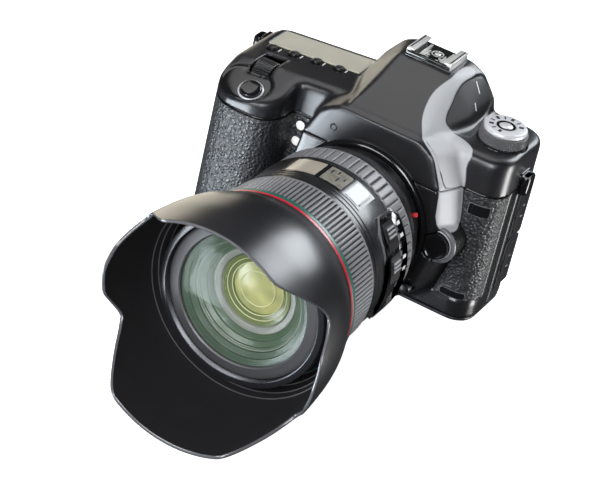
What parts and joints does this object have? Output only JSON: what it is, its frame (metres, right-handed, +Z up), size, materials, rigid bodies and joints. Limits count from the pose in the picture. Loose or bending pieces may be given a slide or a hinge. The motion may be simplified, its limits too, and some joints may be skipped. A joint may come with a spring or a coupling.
{
  "type": "dslr camera",
  "caption": "Black digital single-lens reflex camera with a hand grip, mode dial, accessory shoe, zoom lens and petal-shaped lens hood.",
  "frame": {"origin": "underside of the base plate, below the middle of the image sensor, on the lens axis's vertical plane", "axes": "+Z up; -Y out of the lens; +X towards the side with the mode dial, so the hand grip is at -X; y = 0 is the sensor's front face"},
  "size_m": [0.157, 0.2191, 0.1267],
  "materials": {
    "satin_black": "fine satin black moulded cover",
    "leather_black": "pebble-grained black grip covering",
    "rubber_black": "matt ribbed black rubber",
    "button_black": "satin black key",
    "bright_steel": "bare bright steel",
    "dark_metal": "black anodised metal",
    "coated_glass": "green coated optical glass",
    "optical_glass": "clear optical glass",
    "mirror_coat": "front-silvered mirror",
    "display_panel": "pale reflective display panel",
    "monitor_panel": "dark glossy colour screen",
    "sensor_face": "dark filter glass over the sensor",
    "circuit_green": "green circuit board",
    "battery_grey": "grey battery pack",
    "shutter_black": "thin black blades",
    "lamp_white": "milky white lamp cover"
  },
  "bodies": {
    "body": {"front_cover": "satin_black", "top_cover": "satin_black", "rear_cover": "satin_black", "base_plate": "satin_black", "grip_leather": "leather_black", "side_leather": "leather_black", "mirror_box": "dark_metal", "pentaprism": "optical_glass", "image_sensor": "sensor_face", "main_board": "circuit_green", "battery": "battery_grey", "accessory_shoe": "bright_steel", "top_display": "display_panel", "rear_monitor": "monitor_panel", "eyecup": "rubber_black", "eyepiece_lens": "optical_glass", "strap_lug_left": "dark_metal", "strap_lug_right": "dark_metal", "tripod_socket": "bright_steel", "self_timer_lamp": "lamp_white", "lens_mount_ring": "bright_steel"},
    "lens": {"lens_barrel": "satin_black", "distance_window": "display_panel", "rear_element": "optical_glass"},
    "front_barrel": {"front_barrel": "satin_black", "front_element": "coated_glass"},
    "hood": {"lens_hood": "satin_black"},
    "focus_ring": {"focus_ring": "rubber_black"},
    "zoom_ring": {"zoom_ring": "rubber_black"},
    "focus_mode_switch": {"focus_mode_switch": "button_black"},
    "stabilizer_switch": {"stabilizer_switch": "button_black"},
    "mirror": {"mirror": "mirror_coat"},
    "sub_mirror": {"sub_mirror": "mirror_coat"},
    "shutter_curtain": {"shutter_curtain": "shutter_black"},
    "shutter_button": {"shutter_button": "button_black"},
    "main_dial": {"main_dial": "rubber_black"},
    "mode_dial": {"mode_dial": "bright_steel"},
    "quick_dial": {"quick_dial": "rubber_black"},
    "set_button": {"set_button": "button_black"},
    "joystick": {"joystick": "rubber_black"},
    "power_switch": {"power_switch": "button_black"},
    "lens_release_button": {"lens_release_button": "button_black"},
    "depth_preview_button": {"depth_preview_button": "button_black"},
    "battery_door": {"battery_door": "satin_black"},
    "card_door": {"card_door": "satin_black"},
    "terminal_cover_1": {"terminal_cover_1": "rubber_black"},
    "terminal_cover_2": {"terminal_cover_2": "rubber_black"},
    "diopter_knob": {"diopter_knob": "button_black"},
    "top_button_1": {"top_button_1": "button_black"},
    "top_button_2": {"top_button_2": "button_black"},
    "top_button_3": {"top_button_3": "button_black"},
    "top_button_4": {"top_button_4": "button_black"},
    "rear_button_1": {"rear_button_1": "button_black"},
    "rear_button_2": {"rear_button_2": "button_black"},
    "rear_button_3": {"rear_button_3": "button_black"},
    "rear_button_4": {"rear_button_4": "button_black"},
    "rear_button_5": {"rear_button_5": "button_black"},
    "thumb_button_1": {"thumb_button_1": "button_black"},
    "thumb_button_2": {"thumb_button_2": "button_black"},
    "thumb_button_3": {"thumb_button_3": "button_black"}
  },
  "joints": [
    {"name": "shutter_button_press", "type": "slide", "parent": "body", "child": "shutter_button", "axis": [0, 0.4103, -0.9119], "range_m": [0, 0.0008], "stiffness_N_per_m": 60, "springref_m": -0.0005},
    {"name": "top_button_1_press", "type": "slide", "parent": "body", "child": "top_button_1", "axis": [0.0946, 0, -0.9955], "range_m": [0, 0.0006], "stiffness_N_per_m": 60, "springref_m": -0.0005},
    {"name": "top_button_2_press", "type": "slide", "parent": "body", "child": "top_button_2", "axis": [0.0946, 0, -0.9955], "range_m": [0, 0.0006], "stiffness_N_per_m": 60, "springref_m": -0.0005},
    {"name": "top_button_3_press", "type": "slide", "parent": "body", "child": "top_button_3", "axis": [0.0946, 0, -0.9955], "range_m": [0, 0.0006], "stiffness_N_per_m": 60, "springref_m": -0.0005},
    {"name": "top_button_4_press", "type": "slide", "parent": "body", "child": "top_button_4", "axis": [0.0946, 0, -0.9955], "range_m": [0, 0.0006], "stiffness_N_per_m": 60, "springref_m": -0.0005},
    {"name": "rear_button_1_press", "type": "slide", "parent": "body", "child": "rear_button_1", "axis": [0, -1, 0], "range_m": [0, 0.0006], "stiffness_N_per_m": 60, "springref_m": -0.0005},
    {"name": "rear_button_2_press", "type": "slide", "parent": "body", "child": "rear_button_2", "axis": [0, -1, 0], "range_m": [0, 0.0006], "stiffness_N_per_m": 60, "springref_m": -0.0005},
    {"name": "rear_button_3_press", "type": "slide", "parent": "body", "child": "rear_button_3", "axis": [0, -1, 0], "range_m": [0, 0.0006], "stiffness_N_per_m": 60, "springref_m": -0.0005},
    {"name": "rear_button_4_press", "type": "slide", "parent": "body", "child": "rear_button_4", "axis": [0, -1, 0], "range_m": [0, 0.0006], "stiffness_N_per_m": 60, "springref_m": -0.0005},
    {"name": "rear_button_5_press", "type": "slide", "parent": "body", "child": "rear_button_5", "axis": [0, -1, 0], "range_m": [0, 0.0006], "stiffness_N_per_m": 60, "springref_m": -0.0005},
    {"name": "thumb_button_1_press", "type": "slide", "parent": "body", "child": "thumb_button_1", "axis": [0, -1, 0], "range_m": [0, 0.0006], "stiffness_N_per_m": 60, "springref_m": -0.0005},
    {"name": "thumb_button_2_press", "type": "slide", "parent": "body", "child": "thumb_button_2", "axis": [0, -1, 0], "range_m": [0, 0.0006], "stiffness_N_per_m": 60, "springref_m": -0.0005},
    {"name": "thumb_button_3_press", "type": "slide", "parent": "body", "child": "thumb_button_3", "axis": [0, -1, 0], "range_m": [0, 0.0006], "stiffness_N_per_m": 60, "springref_m": -0.0005},
    {"name": "set_button_press", "type": "slide", "parent": "body", "child": "set_button", "axis": [0, -1, 0], "range_m": [0, 0.0006], "stiffness_N_per_m": 60, "springref_m": -0.0005},
    {"name": "joystick_press", "type": "slide", "parent": "body", "child": "joystick", "axis": [0, -1, 0], "range_m": [0, 0.0006], "stiffness_N_per_m": 60, "springref_m": -0.0005},
    {"name": "depth_preview_button_press", "type": "slide", "parent": "body", "child": "depth_preview_button", "axis": [0, 1, 0], "range_m": [0, 0.001], "stiffness_N_per_m": 60, "springref_m": -0.0005},
    {"name": "lens_release_button_press", "type": "slide", "parent": "body", "child": "lens_release_button", "axis": [0, 1, 0], "range_m": [0, 0.0025], "stiffness_N_per_m": 150, "springref_m": -0.001},
    {"name": "main_dial_turn", "type": "hinge", "parent": "body", "child": "main_dial", "pos_m": [-0.07, -0.0215, 0.0776], "axis": [1, 0, 0], "continuous": true},
    {"name": "mode_dial_turn", "type": "hinge", "parent": "body", "child": "mode_dial", "pos_m": [0.0478, -0.0049, 0.0895], "axis": [0, 0, 1], "continuous": true},
    {"name": "quick_dial_turn", "type": "hinge", "parent": "body", "child": "quick_dial", "pos_m": [-0.06, 0.02, 0.027], "axis": [0, 1, 0], "continuous": true},
    {"name": "diopter_turn", "type": "hinge", "parent": "body", "child": "diopter_knob", "pos_m": [-0.0235, 0.0195, 0.093], "axis": [0, 1, 0], "range_deg": [-150, 150]},
    {"name": "power_switch_turn", "type": "hinge", "parent": "body", "child": "power_switch", "pos_m": [-0.044, 0.02, 0.0068], "axis": [0, 1, 0], "range_deg": [0, 30]},
    {"name": "battery_door_turn", "type": "hinge", "parent": "body", "child": "battery_door", "pos_m": [-0.057, -0.024, 0.0009], "axis": [0, -1, 0], "range_deg": [0, 100]},
    {"name": "card_door_turn", "type": "hinge", "parent": "body", "child": "card_door", "pos_m": [-0.0868, -0.001, 0.038], "axis": [0, 0, 1], "range_deg": [0, 90]},
    {"name": "terminal_cover_1_turn", "type": "hinge", "parent": "body", "child": "terminal_cover_1", "pos_m": [0.0618, 0.0011, 0.01], "axis": [0, 0, -1], "range_deg": [0, 120]},
    {"name": "terminal_cover_2_turn", "type": "hinge", "parent": "body", "child": "terminal_cover_2", "pos_m": [0.0618, 0.0011, 0.0375], "axis": [0, 0, -1], "range_deg": [0, 120]},
    {"name": "mirror_lift", "type": "hinge", "parent": "body", "child": "mirror", "pos_m": [0, -0.009, 0.0625], "axis": [-1, 0, 0], "range_deg": [0, 45], "stiffness_Nm_per_rad": 0.006, "springref_deg": -20.05},
    {"name": "sub_mirror_fold", "type": "hinge", "parent": "mirror", "child": "sub_mirror", "pos_m": [0, -0.01883, 0.04899], "axis": [1, 0, 0], "range_deg": [0, 90]},
    {"name": "shutter_travel", "type": "slide", "parent": "body", "child": "shutter_curtain", "axis": [0, 0, -1], "range_m": [0, 0.025]},
    {"name": "lens_twist", "type": "hinge", "parent": "body", "child": "lens", "pos_m": [0, -0.044, 0.0424], "axis": [0, -1, 0], "range_deg": [0, 60]},
    {"name": "focus_turn", "type": "hinge", "parent": "lens", "child": "focus_ring", "pos_m": [0, -0.069, 0.0424], "axis": [0, -1, 0], "continuous": true},
    {"name": "focus_mode_throw", "type": "hinge", "parent": "lens", "child": "focus_mode_switch", "pos_m": [0, -0.084, 0.0424], "axis": [0, 1, 0], "range_deg": [0, 5.5]},
    {"name": "stabilizer_throw", "type": "hinge", "parent": "lens", "child": "stabilizer_switch", "pos_m": [0, -0.084, 0.0424], "axis": [0, 1, 0], "range_deg": [0, 5.5]},
    {"name": "zoom_turn", "type": "hinge", "parent": "lens", "child": "zoom_ring", "pos_m": [0, -0.115, 0.0424], "axis": [0, -1, 0], "range_deg": [0, 75]},
    {"name": "zoom_travel", "type": "slide", "parent": "lens", "child": "front_barrel", "axis": [0, -1, 0], "range_m": [0, 0.0345]},
    {"name": "hood_twist", "type": "hinge", "parent": "front_barrel", "child": "hood", "pos_m": [0, -0.133, 0.0424], "axis": [0, -1, 0], "range_deg": [0, 60]}
  ],
  "couplings": [
    {"joint": "zoom_travel", "follows": "zoom_turn", "m_per_rad": 0.026},
    {"joint": "sub_mirror_fold", "follows": "mirror_lift", "ratio": 2}
  ]
}
